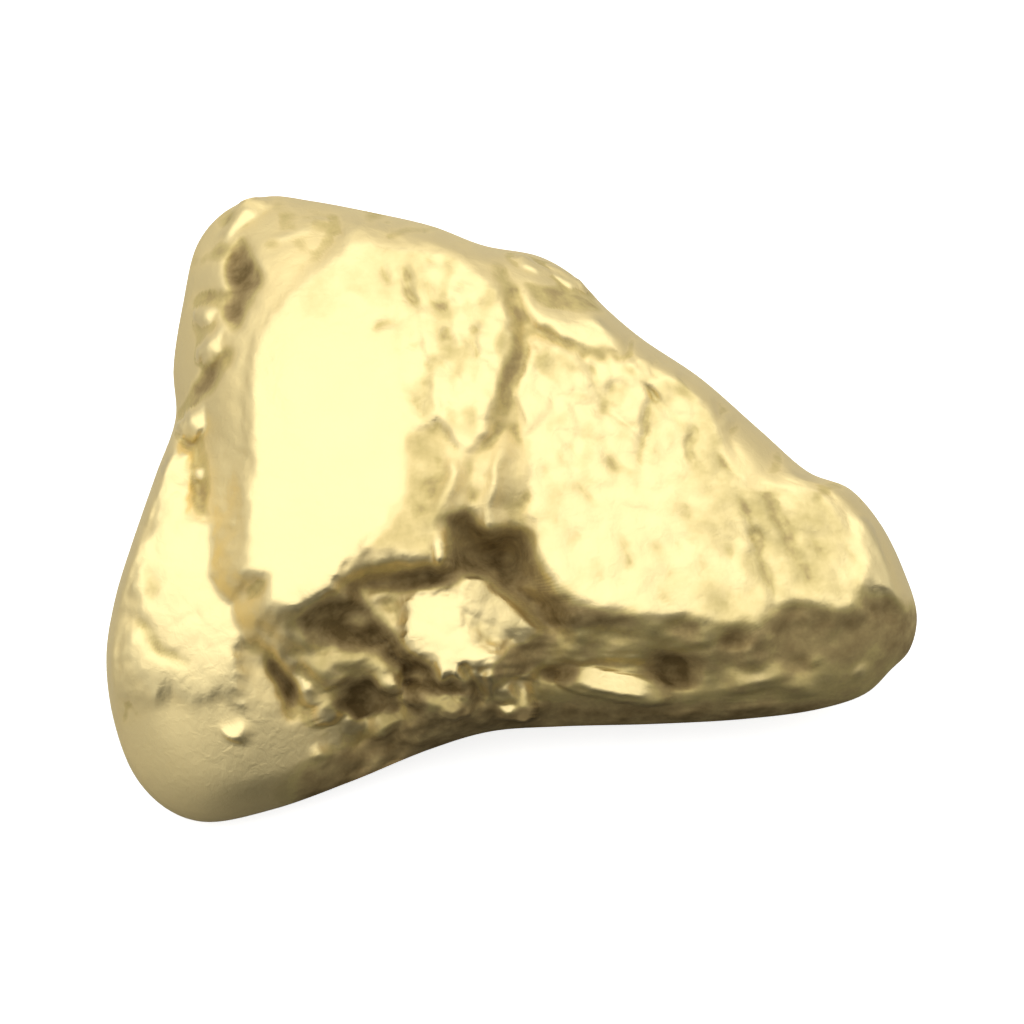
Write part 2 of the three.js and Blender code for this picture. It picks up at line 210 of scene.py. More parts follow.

# Places darkened by settled soil and by painted shade: how much, and the outline.
SOILED_AND_SHADED = [
    (0.76, [
        (-1.4, -0.12), (-1.0, 0.02), (-0.77, -0.12), (-0.5, -0.38), (-0.15, -0.25), (0.2, -0.47),
        (0.42, -0.92), (0.8, -1.54), (1.25, -1.9), (1.9, -2.0), (2.6, -2.15), (1.6, -2.35),
        (0.56, -2.34), (0.2, -1.89), (-0.33, -1.54), (-0.86, -1.18), (-1.13, -1.54), (-2.28, -1.63),
        (-2.9, -1.54), (-3.44, -1.54), (-3.26, -1.4), (-2.28, -1.27), (-2.1, -1.14), (-1.4, -1.09),
        (-1.3, -0.92), (-1.22, -0.47),
    ]),
    (0.88, [
        (-4.22, -2.11), (-3.5, -1.68), (-3.0, -1.61), (-2.64, -2.18), (-2.28, -2.62), (-1.78, -2.98),
        (-1.63, -3.19), (-2.2, -3.26), (-2.64, -2.9), (-3.5, -2.76), (-4.15, -2.69),
    ]),
    (0.88, [
        (-3.5, -3.26), (-2.86, -3.26), (-2.64, -3.48), (-2.28, -3.55), (-2.2, -4.05), (-2.78, -4.05),
        (-3.14, -4.27), (-3.43, -3.9),
    ]),
    (0.8, [
        (-2.2, -3.4), (-0.77, -3.4), (-0.62, -3.76), (-0.77, -4.2), (-0.9, -3.7), (-1.63, -3.6),
        (-1.69, -4.13), (-2.12, -4.13),
    ]),
    (0.62, [
        (5.57, -1.95), (6.83, -1.95), (7.28, -1.77), (7.73, -2.04), (7.87, -2.49), (7.46, -2.76),
        (6.92, -2.67), (6.2, -2.49), (5.57, -2.67), (5.21, -2.4),
    ]),
    (0.68, [
        (-0.05, -2.68), (0.24, -2.75), (0.6, -2.4), (0.75, -2.7), (0.35, -3.3), (-0.4, -3.4),
        (-0.45, -3.1), (-0.2, -2.88),
    ]),
    (0.4, [
        (-6.6, 1.6), (-6.1, 1.35), (-6.02, 0.5), (-6.1, -0.12), (-6.3, -0.1), (-6.5, 0.5), (-6.48, 1.2),
    ]),
    (0.44, [
        (0.15, 4.62), (0.7, 4.5), (1.2, 4.55), (1.75, 4.1), (1.95, 3.92), (1.35, 4.0), (0.5, 4.1),
    ]),
]

# Small facets: centre (u, v), reach along and across, turn, lean up and right, rise, and soil and painted
# shade.
FACETS = [
    (-4.4, 5.5, 0.3, 0.1, 20, 32, -6, 0.03, 0),
    (0.33, 4.8, 0.16, 0.09, -30, 32, 6, 0.04, 0),
    (0.98, 4.56, 0.2, 0.1, -30, 34, 6, 0.04, 0),
    (-5.52, 5.68, 0.42, 0.18, 62, 24, -10, 0.03, 0),
    (-6.0, 3.9, 0.22, 0.14, 0, 24, -12, 0.03, 0),
    (-5.85, 3.38, 0.28, 0.15, 50, 24, -12, 0.03, 0.1),
    (-6.16, 1.88, 0.33, 0.17, 40, 24, -12, 0.03, 0),
    (-6.22, 0.7, 0.13, 0.12, 0, 16, -6, 0.05, 0),
    (-5.53, -4.33, 0.24, 0.23, 0, 16, -2, 0.05, 0),
    (-5.42, -3.83, 0.1, 0.09, 0, 12, -8, 0.02, 0),
    (-0.14, -3.9, 0.17, 0.13, -30, 16, 0, 0.07, 0.12),
    (0.16, -3.68, 0.22, 0.1, -80, 16, 0, 0.05, 0.3),
    (-1.5, -3.78, 0.28, 0.1, -14, 12, 0, 0.06, 0.38),
    (-1.2, -3.9, 0.14, 0.14, 20, 12, 0, 0.06, 0.38),
    (-2.4, -4.1, 0.3, 0.16, 30, 8, 0, 0.07, 0.36),
    (-3.94, -4.8, 0.16, 0.12, -40, 4, 0, 0.04, 0.25),
    (2.0, -3.44, 0.66, 0.21, -11, 10, 0, 0.17, 0.16),
    (-4.2, -3.34, 0.26, 0.12, -62, 15, -8, 0.08, 0.08),
    (-3.9, -3.0, 0.3, 0.13, -40, 14, 0, 0.07, 0.3),
    (-3.78, -3.62, 0.32, 0.14, -80, 10, 0, 0.04, 0.36),
    (-3.3, -2.93, 0.36, 0.11, 4, 14, 0, 0.07, 0.36),
    (-2.74, -3.04, 0.26, 0.12, -30, 14, 0, 0.07, 0.34),
    (4.85, -3.25, 0.42, 0.2, 12, 4, 0, 0.04, 0.27),
    (5.5, -3.4, 0.3, 0.14, -10, -8, 10, 0.05, 0.35),
    (6.0, -2.95, 0.12, 0.1, 0, 0, 0, 0.05, 0.2),
    (6.9, -3.12, 0.12, 0.16, 0, 0, 0, 0.05, 0.3),
    (-2.67, -1.98, 0.45, 0.12, -50, 10, 0, 0.12, 0.2),
    (-2.5, -3.36, 0.2, 0.13, -40, 12, 0, 0.1, 0.22),
    (-1.44, -0.78, 0.13, 0.22, 0, 15, 5, 0.2, 0),
    (-3.2, -2.15, 0.32, 0.15, -15, -18, 0, 0.1, 0.45),
]

# Lines scored into the surface or standing out of it: points, width, height, and soil and painted shade.
LINES = [
    ([(-1.84, 4.64), (-1.7, 3.4), (-1.5, 2.1), (-1.37, 1.75)], 0.1, 0.04, 0.05),
    ([(-2.0, 4.5), (-1.85, 3.4), (-1.7, 2.2)], 0.09, -0.015, 0.037),
    ([(0.3, 3.75), (0.9, 3.45), (1.4, 3.2), (2.1, 3.08)], 0.12, -0.03, 0.36),
    ([(-0.3, 4.85), (0.02, 4.2), (0.11, 3.7), (0.03, 3.0), (-0.2, 2.35), (-0.45, 1.65)], 0.15, -0.05, 0.5),
    ([(-2.24, 4.95), (-2.1, 4.4), (-1.85, 4.0)], 0.12, -0.08, 0.25),
    ([(-1.5, 4.3), (-1.3, 3.6), (-1.15, 2.9)], 0.1, -0.04, 0.24),
    ([(-1.0, 4.5), (-0.8, 3.8), (-0.7, 3.1), (-0.75, 2.4)], 0.1, -0.04, 0.24),
    ([(-2.8, 3.5), (-2.4, 3.85)], 0.09, -0.08, 0.2),
    ([(-2.6, 4.9), (-2.5, 4.45)], 0.1, -0.08, 0.2),
    ([(-1.57, 1.75), (-1.3, 1.4), (-1.05, 1.15)], 0.08, -0.12, 0.3),
    ([(3.63, 1.64), (3.43, 1.3), (3.7, 0.84)], 0.08, -0.1, 0.62),
    ([(2.76, 2.4), (2.63, 1.5), (2.56, 0.97)], 0.08, -0.08, 0.2),
    ([(2.76, 2.4), (2.9, 2.1)], 0.12, -0.09, 0.22),
    ([(2.2, -0.6), (2.28, -1.0), (2.38, -1.45)], 0.07, -0.06, 0.15),
    ([(4.3, -0.36), (4.6, -0.5), (4.9, -0.45)], 0.07, -0.08, 0.2),
    ([(4.95, 0.45), (5.45, -0.45), (5.85, -1.3)], 0.12, -0.08, 0.45),
    ([(4.5, 0.3), (4.95, -0.8), (5.2, -1.9)], 0.1, -0.09, 0.22),
    ([(3.0, -0.45), (3.5, -1.0)], 0.07, -0.04, 0.1),
    ([(-1.3, 1.25), (-1.15, 0.7), (-1.3, 0.3), (-1.62, -0.2), (-1.44, -0.8)], 0.16, 0.16, 0.05),
    ([(-0.2, 1.4), (-0.3, 0.7), (-0.42, 0.2), (-0.55, -0.3)], 0.14, 0.14, 0.05),
    ([(-0.85, 1.1), (-0.8, 0.3), (-0.85, -0.1)], 0.13, -0.06, 0.15),
    ([(0.12, 1.8), (0.02, 0.7), (0.0, -0.2)], 0.13, -0.05, 0.12),
    ([(-3.8, -2.95), (-3.2, -2.95), (-2.75, -3.0), (-2.4, -3.35)], 0.14, 0.14, 0.36),
    ([(-4.8, -2.9), (-4.66, -3.2), (-4.46, -3.5), (-4.36, -3.75), (-4.42, -4.1)], 0.11, -0.4, 1.0),
    ([(-4.5, -2.5), (-4.0, -2.85), (-3.8, -3.3), (-3.75, -3.9)], 0.18, 0.13, 0.32),
    ([(-3.3, -1.3), (-2.8, -1.1), (-2.1, -0.98)], 0.15, 0.14, 0.22),
    ([(-7.5, -2.15), (-7.2, -2.45), (-6.92, -2.9)], 0.1, -0.08, 0.36),
    ([(-7.0, -2.8), (-6.75, -2.95), (-6.4, -3.05)], 0.13, -0.07, 0.36),
    ([(-7.35, -1.1), (-7.1, -1.5), (-7.25, -1.8)], 0.16, -0.04, 0.26),
]


def smooth_max(values, rounding):
    highest = np.max(values, axis=0)
    return highest + rounding * np.log(sum(np.exp((v - highest) / rounding) for v in values))


def smooth_step(low, high, x):
    t = np.clip((x - low) / (high - low), 0, 1)
    return t * t * (3 - 2 * t)


SWIRL = np.random.default_rng(11).normal(size=(24, 24, 24, 3))
SWIRL /= np.linalg.norm(SWIRL, axis=3, keepdims=True)
SEEDS = np.random.default_rng(5).uniform(0, 1, (24, 24, 24, 3))


def swell(p, size, shift=0.0):
    """Smooth random swells about size across, from -1 to 1."""
    q = p / size + shift
    cell = np.floor(q).astype(int)
    inside = q - cell
    ease = inside**3 * (inside * (inside * 6 - 15) + 10)
    total = np.zeros(len(p))
    for corner in itertools.product((0, 1), repeat=3):
        share = np.prod(np.where(corner, ease, 1 - ease), axis=1)
        at = (cell + corner) % 24
        lean = SWIRL[at[:, 0], at[:, 1], at[:, 2]]
        total += share * np.sum(lean * (inside - corner), axis=1)
    return 1.5 * total


def rough(p, size, shift=0.0, layers=3):
    """Swells on swells, each layer half the size of the last."""
    return sum(swell(p, size / 2**i, shift + 5.3 * i) / 2**i for i in range(layers))


def hammered(p, size, shift=0.0, tilt=1.0):
    """Small tilted facets about size across that meet in creases, from about -1 to 0."""
    q = p / size + shift
    cell = np.floor(q).astype(int)
    highest = np.full(len(p), -9.0)
    for step in itertools.product((-1, 0, 1), repeat=3):
        at = (cell + step) % 24
        seed = SEEDS[at[:, 0], at[:, 1], at[:, 2]]
        gap = q - cell - step - seed
        lean = SWIRL[at[:, 0], at[:, 1], at[:, 2]]
        highest = np.maximum(highest, tilt * np.sum(lean * gap, axis=1) - np.sum(gap * gap, axis=1))
    return highest


def from_line(u, v, points, closed=False):
    """Distance to a line, and how far along it the nearest place is, from 0 to 1."""
    pairs = list(zip(points, points[1:] + points[:1] if closed else points[1:]))
    nearest = np.full(len(u), 99.0)
    along = np.zeros(len(u))
    for i, ((au, av), (bu, bv)) in enumerate(pairs):
        length2 = (bu - au) ** 2 + (bv - av) ** 2
        t = np.clip(((u - au) * (bu - au) + (v - av) * (bv - av)) / length2, 0, 1)
        gap = np.hypot(au + t * (bu - au) - u, av + t * (bv - av) - v)
        along = np.where(gap < nearest, (i + t) / len(pairs), along)
        nearest = np.minimum(nearest, gap)
    return nearest, along


def beyond_outline(u, v, outline):
    """Distance to an outline, negative inside it."""
    nearest, _ = from_line(u, v, outline, closed=True)
    inside = np.zeros(len(u), bool)
    for (au, av), (bu, bv) in zip(outline, outline[1:] + outline[:1]):
        if av == bv:
            continue
        crosses = ((av > v) != (bv > v)) & (u < au + (v - av) / (bv - av) * (bu - au))
        inside ^= crosses
    return np.where(inside, -nearest, nearest)


def oval(u, v, cu, cv, along, across, turn, boxy=False):
    """Squared distance from a centre, measured in reaches; boxy ovals are squarer at the corners."""
    c, s = math.cos(math.radians(turn)), math.sin(math.radians(turn))
    p = ((u - cu) * c + (v - cv) * s) / along
    q = ((v - cv) * c - (u - cu) * s) / across
    return np.sqrt(p**4 + q**4) if boxy else p * p + q * q


def rim_sheet(v):
    return RIM_SLOPE * v - RIM_BOW * v * v


def rim_curve():
    """The rim as a smooth closed curve: its bearings from the face centre, and how far out it lies."""
    points = np.array(RIM + RIM[:3])
    found = []
    for i in range(len(RIM)):
        p = [points[(i + k - 1) % len(RIM)] for k in range(4)]
        knots = [0.0]
        for a, b in zip(p, p[1:]):
            knots.append(knots[-1] + np.linalg.norm(b - a) ** 0.5)
        for t in np.linspace(knots[1], knots[2], 18, endpoint=False):
            layer = [
                ((knots[k + 1] - t) * p[k] + (t - knots[k]) * p[k + 1]) / (knots[k + 1] - knots[k])
                for k in range(3)
            ]
            layer = [
                ((knots[k + 2] - t) * layer[k] + (t - knots[k]) * layer[k + 1]) / (knots[k + 2] - knots[k])
                for k in range(2)
            ]
            found.append(((knots[2] - t) * layer[0] + (t - knots[1]) * layer[1]) / (knots[2] - knots[1]))
    offset = np.array(found) - FACE_CENTRE
    bearing = np.arctan2(offset[:, 1], offset[:, 0])
    order = np.argsort(bearing)
    return bearing[order], np.hypot(*offset.T)[order]


RIM_BEARING, RIM_REACH = rim_curve()


def rim_reach(bearing):
    return np.interp(bearing, RIM_BEARING, RIM_REACH, period=2 * math.pi)


def rolled_edge(inset, width):
    return np.sqrt(np.maximum(0, 1 - np.maximum(0, 1 - inset / width) ** 2))


def body_height(u, v):
    blocks = [rim_sheet(v) + h * (1 - oval(u, v, cu, cv, a, b, t)) for cu, cv, a, b, t, h in LUMPS]
    return smooth_max(blocks, 0.08)


def on_plane(u, v):
    return np.stack([u, v, np.zeros(len(u))], axis=1)


def worn_tops(u, v, inset, wander, jagged):
    """Heights of the worn faces, how much each place lies on each, and how dull it is."""
    sheet = rim_sheet(v)
    tops = []
    on_face = {}
    dullness = np.zeros(len(u))
    for name, face in WORN_FACES.items():
        ru = u + face["ragged"] * (wander[0] + 0.5 * jagged[0])
        rv = v + face["ragged"] * (wander[1] + 0.5 * jagged[1])
        beyond = beyond_outline(ru, rv, face["outline"])
        au, av, aw = face["at"]
        up, right = (math.tan(math.radians(x)) for x in face["lean"])
        top = aw - right * (u - au) - up * (v - av)
        top -= face.get("bow", 0) * (v - av) ** 2
        top -= math.tan(math.radians(face["side"])) * smooth_max([beyond, 0 * beyond], face["round"])
        on_face[name] = smooth_step(0.03, -0.1, beyond)
        dullness += face.get("dull", 0) * on_face[name]
        tops.append(sheet + rolled_edge(inset, face.get("roll", FACE_ROUND)) * (top - sheet))
    return tops, on_face, dullness


def sunk_and_scored(u, v, wander, on_face):
    """How far hollows and lines raise the surface, and the soil and painted shade in them and on the listed
    places.
    """
    change = np.zeros(len(u))
    soil_and_shade = np.zeros(len(u))
    for cu, cv, along, across, turn, depth, dirt_and_shade in HOLLOWS:
        stray = 0.45 * min(along, across)
        ring = oval(u + stray * wander[0], v + stray * wander[1], cu, cv, along, across, turn)
        change -= depth * np.exp(-(ring**1.5))
        beyond = (np.sqrt(ring) - 1.05) * min(along, across)
        laid = 0.55 * smooth_step(0.1, -0.05, beyond) + 0.45 * smooth_step(0.0, -0.2, beyond)
        soil_and_shade = np.maximum(soil_and_shade, dirt_and_shade * laid)
    for dirt_and_shade, outline in SOILED_AND_SHADED:
        beyond = beyond_outline(u + 0.08 * wander[0], v + 0.08 * wander[1], outline)
        soil_and_shade = np.maximum(soil_and_shade, dirt_and_shade * smooth_step(0.05, -0.05, beyond) * (1 - on_face["right"]))
    for points, width, rise, dirt_and_shade in LINES:
        gap, along = from_line(u + 0.1 * wander[0], v + 0.1 * wander[1], points)
        stroke = np.exp(-((gap / width) ** 2)) * np.sin(math.pi * (0.12 + 0.76 * along))
        change += rise * stroke
        laid = np.clip(1.6 * stroke, 0, 1)
        soil_and_shade = np.maximum(soil_and_shade, dirt_and_shade * laid) if rise < 0 else soil_and_shade + (dirt_and_shade - soil_and_shade) * laid
    return change, soil_and_shade


def parts_of_face(u, v, inset, covered):
    """How much each place belongs to each part of the show face, from 0 to 1."""
    lobe = smooth_step(-3.4, -4.3, v + 0.25 * (u + 5)) * smooth_step(-3.0, -4.0, u)
    crumpled = smooth_step(-4.9, -4.3, u) * smooth_step(0.4, -0.2, u) * smooth_step(-0.6, -1.4, v)
    return {
        "plain": 1 - covered,
        "lobe": lobe,
        "left side": smooth_step(-4.9, -5.4, u) * smooth_step(-0.2, 0.6, v),
        "folds": crumpled * (1 - lobe),
        "front wall": smooth_step(0.2, 0.8, u) * smooth_step(-1.6, -2.2, v),
        "under edge": smooth_step(3.8, 4.8, u) * smooth_step(-3.2, -2.7, v),
        "foot": smooth_step(1.5, 0.5, inset) * smooth_step(-3.3, -4.1, v) * smooth_step(-5.2, -3.8, u),
        "creased": smooth_step(-3.2, -1.5, u) * smooth_step(0.5, 2.0, v),
        "upper": smooth_step(-1.2, 0.8, v + 0.5 * (u - 3)),
        "top band": (1 - covered) * smooth_step(3.6, 4.8, v) * smooth_step(-0.5, -1.5, u),
    }


def fine_relief(u, v, ragged, on_face, part):
    """Dents and folds of each part of the show face, as heights in millimetres."""
    p = on_plane(u, v)
    streaks = np.stack([0.87 * u + 0.5 * v, 0.6 * (0.87 * v - 0.5 * u), 0 * u], axis=1) + 0.8 * (ragged - p)
    small = hammered(ragged, 0.32, 3.1)
    middling = hammered(ragged, 0.6, 7.7)
    long_dents = hammered(streaks, 0.34, 6.1)
    relief = on_face["upper left"] * (0.012 * rough(p, 1.3, 1.1) + (0.01 + 0.09 * part["creased"]) * small)
    relief += on_face["right"] * ((0.07 + 0.02 * part["upper"]) * long_dents + 0.03 * small)
    relief += on_face["left lobe"] * smooth_step(-3.7, -3.1, v) * (0.03 * middling + 0.03 * small + 0.025)
    relief += on_face["shoulder"] * 0.05 * small
    relief += (on_face["window"] + on_face["drapes"]) * (0.05 * small + 0.03 * middling)
    relief += on_face["knob"] * 0.03 * small + on_face["knob side"] * 0.07 * small
    relief += on_face["tip"] * (0.06 * long_dents + 0.03)
    # Beside and between the worn faces.
    plain, lobe, left_side = part["plain"], part["lobe"], part["left side"]
    relief += plain * (1 - lobe) * (1 - left_side) * (0.05 * small + 0.04 * middling)
    relief += plain * part["folds"] * (0.14 * middling + 0.12 * small + 0.08 * hammered(ragged, 0.2, 9.9))
    relief += plain * lobe * 0.012 * rough(p, 1.2, 1.9)
    relief += plain * left_side * (0.02 * rough(p, 0.9, 6.6) + 0.03 * middling + 0.035 * small)
    return relief


def with_broad_soil_and_shade(soil_and_shade, u, v, ragged, on_face, part, relief):
    """Adds the soil, tarnish and painted shade that lie over whole parts of the show face."""
    right, upper_left = on_face["right"], on_face["upper left"]
    plain, creased = part["plain"], part["creased"]
    # The front wall and the under edge are darkened with soil and painted shade, as they face down away
    # from the light.
    walled = FRONT_WALL_SOIL_AND_SHADE + UNDER_EDGE_SOIL_AND_SHADE * part["under edge"]
    soil_and_shade = np.maximum(soil_and_shade, plain * walled * part["front wall"])
    golden = RIGHT_FACE_SOIL * right * smooth_step(2.0, 4.5, u)
    golden = golden + UPPER_LEFT_SOIL * upper_left * smooth_step(2.5, 4.5, v)
    soil_and_shade = np.maximum(soil_and_shade, golden * smooth_step(-0.9, 0.2, rough(ragged, 0.9, 4.4)))
    blotches = smooth_step(0.0, 0.8, rough(ragged, 0.5, 12.3))
    mottled = right * (0.5 + 0.5 * part["upper"]) + upper_left * creased + 0.3 * on_face["left lobe"]
    # The top band is darkened in blotches with soil and painted shade.
    soil_and_shade = np.maximum(soil_and_shade, (MOTTLED_SOIL * mottled + TOP_BAND_SOIL_AND_SHADE * part["top band"]) * blotches)
    grain = np.stack([2.2 * u, 0.8 * v, 0 * u], axis=1) + 0.5 * (ragged - on_plane(u, v))
    streaked = STREAKED_SOIL * (upper_left * creased + 0.7 * right)
    soil_and_shade = np.maximum(soil_and_shade, streaked * smooth_step(-0.15, 0.4, rough(grain, 0.7, 8.8)))
    # Low places in the folds are darkened with painted shade as well as soil.
    soil_and_shade = soil_and_shade + plain * FOLDED_SOIL_AND_SHADE * part["folds"] * smooth_step(-0.04, -0.12, relief)
    # The foot, along the bottom edge of the show face, is darkened with soil and painted shade.
    return np.maximum(soil_and_shade, FOOT_SOIL_AND_SHADE * part["foot"])


def show_face(u, v, inset):
    """Height of the show face, how much soil and painted shade lies in it, and how much it is polished by
    wear.
    """
    p = on_plane(u, v)
    wander = rough(p, 0.55, 0.3), rough(p, 0.55, 9.1)
    jagged = rough(p, 0.24, 15.1, 2), rough(p, 0.24, 2.9, 2)
    sheet = rim_sheet(v)
    leftward = np.clip((-u - 3) / 3, 0, 1) * np.clip((v + 1) / 2, 0, 1)
    top_right = smooth_step(-5.0, -3.5, u) * smooth_step(0.0, 1.5, v)
    edge = RIM_ROUND + RIM_ROUND_LEFT * leftward - RIM_ROUND_TOP * top_right
    body = sheet + rolled_edge(inset, edge) * np.maximum(0.3, body_height(u, v) - sheet)
    tops, on_face, dullness = worn_tops(u, v, inset, wander, jagged)
    height = smooth_max([body, *tops], 0.05)
    change, soil_and_shade = sunk_and_scored(u, v, wander, on_face)
    knob = np.maximum(on_face["knob"], on_face["knob side"])
    change *= 1 - 0.97 * knob
    soil_and_shade = np.maximum(soil_and_shade * (1 - knob), dullness)
    covered = np.clip(sum(on_face.values()), 0, 1)
    worn = covered - np.clip(on_face["window"] + on_face["drapes"], 0, covered)
    part = parts_of_face(u, v, inset, covered)
    ragged = p + 0.12 * np.stack([*wander, 0 * u], axis=1)
    relief = fine_relief(u, v, ragged, on_face, part)
    soil_and_shade = with_broad_soil_and_shade(soil_and_shade, u, v, ragged, on_face, part, relief)
    fade = rolled_edge(inset, 0.35) * (1 - top_right * smooth_step(0.7, 0.1, inset))
    return height + fade * (change + relief), np.clip(soil_and_shade, 0, 1), worn


def unevenness(u, v):
    """Broad and fine waves of the underside, in millimetres."""
    broad = np.sin(0.9 * u + 0.6 * v + 1.3) * np.sin(0.8 * v - 0.5 * u + 0.4)
    fine = np.sin(2.1 * u - 0.9 * v + 2.1) * np.sin(1.9 * v + 1.1 * u)
    return 0.3 * broad + 0.12 * fine


def underside_depth(u, v):
    bow = UNDERSIDE_BOW[0] * (u - BASE_CENTRE[0]) ** 2 + UNDERSIDE_BOW[1] * (v - BASE_CENTRE[1]) ** 2
    level = bow - BASE_DEPTH - UNDERSIDE_SAG
    bowl = (level - v * math.cos(FACE_ELEVATION)) / math.sin(FACE_ELEVATION)
    return smooth_max([rim_sheet(v) - bowl + unevenness(u, v), UNDERSIDE_LEAST + 0 * u], 0.3)


def underside(u, v, inset):
    """Height of the underside, how much soil lies in it, and how much it is polished by wear."""
    p = on_plane(u, v)
    wander = np.stack([rough(p, 0.9, 2.4), rough(p, 0.9, 7.3), 0 * u], axis=1)
    dents = hammered(p + 0.2 * wander, 1.3, 0.6)
    small = hammered(p + 0.12 * wander, 0.5, 4.4)
    pits = smooth_step(0.42, 0.66, rough(p + 0.1 * wander, 1.5, 6.2))
    fade = rolled_edge(inset, 0.6)
    depth = underside_depth(u, v) + fade * (0.35 * dents + 0.07 * small + 0.16 - 0.3 * pits)
    height = rim_sheet(v) - depth * rolled_edge(inset, UNDERSIDE_ROUND)
    soil_and_shade = np.clip(0.9 * pits + 0.4 * smooth_step(-0.45, -0.8, dents), 0, 1)
    return height, soil_and_shade * fade, smooth_step(-0.3, -0.1, dents)


def worn_base(z):
    """Heights with all below the base worn away, and a small fillet round it."""
    above = z + BASE_DEPTH
    fillet = -BASE_DEPTH + (above + BASE_FILLET) ** 2 / (4 * BASE_FILLET)
    return np.where(above >= BASE_FILLET, z, np.where(above <= -BASE_FILLET, -BASE_DEPTH, fillet))


def with_facets(u, v, height, soil_and_shade, worn):
    """Sets small flat facets on the show face."""
    p = on_plane(u, v)
    ru = u + 0.04 * rough(p, 0.25, 0.3)
    rv = v + 0.04 * rough(p, 0.25, 9.1)
    for cu, cv, along, across, turn, up, right, rise, dirt_and_shade in FACETS:
        ring = oval(ru, rv, cu, cv, along, across, turn, boxy=along > 1.6 * across)
        seat = np.average(height, weights=np.exp(-4 * ring))
        beyond = (np.sqrt(ring) - 1) * across
        top = seat + rise - math.tan(math.radians(up)) * (v - cv) - math.tan(math.radians(right)) * (u - cu)
        lifted = smooth_max([height, top - 1.8 * np.maximum(0, beyond)], 0.012)
        lifted = np.where(beyond < 0.15, lifted, height)
        mask = smooth_step(0.06, -0.02, beyond) * smooth_step(0.0, 0.04, lifted - height)
        soil_and_shade = soil_and_shade * (1 - mask) + dirt_and_shade * mask
        worn = np.maximum(worn, mask * (dirt_and_shade < 0.2))
        height = lifted
    return height, soil_and_shade, worn


def on_lump(direction):
    """Points of the unit sphere as points of the lump in millimetres, with soil and painted shade, and
    polish.
    """
    bearing = np.arctan2(direction[:, 1], direction[:, 0])
    from_pole = np.degrees(np.arccos(np.clip(direction[:, 2], -1, 1)))
    on_front = from_pole <= RIM_ANGLE
    steps = (0, CENTRE_ANGLE, RIM_ANGLE, 180), (0, CENTRE_SHARE, 1, 0)
    share = np.minimum(1, np.sin(np.interp(from_pole, *steps) * math.pi / 2))
    reach = rim_reach(bearing)
    u = FACE_CENTRE[0] + share * reach * np.cos(bearing)
    v = FACE_CENTRE[1] + share * reach * np.sin(bearing)
    inset = (1 - share) * reach
    w, soil_and_shade, worn = underside(u, v, inset)
    place = u[on_front], v[on_front]
    w[on_front], soil_and_shade[on_front], worn[on_front] = with_facets(*place, *show_face(*place, inset[on_front]))
    lean = math.pi / 2 - FACE_ELEVATION
    y = v * math.cos(lean) - w * math.sin(lean)
    z = v * math.sin(lean) + w * math.cos(lean)
    return np.stack([u, y, worn_base(z)], axis=1), soil_and_shade, worn


# ---- The lump ----
bpy.ops.object.select_all(action="DESELECT")
bpy.ops.mesh.primitive_cube_add(size=2)
lump = bpy.context.object
lump.name = "gold_nugget"
lump.data.name = "gold_nugget"


def cut_edges(upright, cuts):
    """Cuts the upright edges of the cube, or else the level ones, each into cuts + 1."""
    bpy.ops.object.mode_set(mode="OBJECT")
    mesh = lump.data
    for edge in mesh.edges:
        low_end, high_end = (mesh.vertices[i].co.z for i in edge.vertices)
        edge.select = (abs(low_end - high_end) > 0.001) == upright
    bpy.ops.object.mode_set(mode="EDIT")
    bpy.ops.mesh.subdivide(number_cuts=cuts)


bpy.ops.object.mode_set(mode="EDIT")
bpy.ops.mesh.select_mode(type="EDGE")
bpy.ops.mesh.select_all(action="DESELECT")
cut_edges(True, ROWS_DOWN - 1)
bpy.ops.mesh.select_all(action="DESELECT")
cut_edges(False, CUTS_COARSE)
bpy.ops.mesh.select_all(action="DESELECT")
cut_edges(False, CUTS_FINE)
bpy.ops.object.mode_set(mode="OBJECT")

points = np.zeros(len(lump.data.vertices) * 3)
lump.data.vertices.foreach_get("co", points)
points = np.tan(points.reshape(-1, 3) * math.pi / 4)
points /= np.linalg.norm(points, axis=1, keepdims=True)
points, soil_and_shade, worn = on_lump(points)

# Small hollows are darkened too, with soil and painted shade, and the edges that stand proud are polished.
edges = np.zeros(len(lump.data.edges) * 2, int)
lump.data.edges.foreach_get("vertices", edges)
edges = edges.reshape(-1, 2)
ties = np.bincount(edges.ravel(), minlength=len(points))


def averaged(values):
    """Each value replaced by the mean of its neighbours along the mesh edges."""
    total = np.bincount(edges[:, 0], values[edges[:, 1]], len(values))
    total += np.bincount(edges[:, 1], values[edges[:, 0]], len(values))
    return total / ties


for _ in range(2):
    for axis in range(3):
        points[:, axis] = 0.5 * points[:, axis] + 0.5 * averaged(points[:, axis])
for _ in range(3):
    soil_and_shade = averaged(soil_and_shade)
points[:, 2] = np.maximum(points[:, 2], -BASE_DEPTH)
eased = points.copy()
out_of_face = np.array([0, -math.cos(FACE_ELEVATION), math.sin(FACE_ELEVATION)])
dips = []
for rounds in (12, 60):
    for _ in range(rounds):
        for axis in range(3):
            eased[:, axis] = averaged(eased[:, axis])
    dips.append((eased - points) @ out_of_face * smooth_step(-1.5, -0.5, points @ out_of_face))
# Dips where the surface sinks below its smoothed shape are darkened, partly soil and partly painted shade.
dip_soil_and_shade = DIP_SOIL_AND_SHADE * smooth_step(0.006, 0.05, dips[0]) + BROAD_DIP_SOIL_AND_SHADE * smooth_step(0.04, 0.2, dips[1])
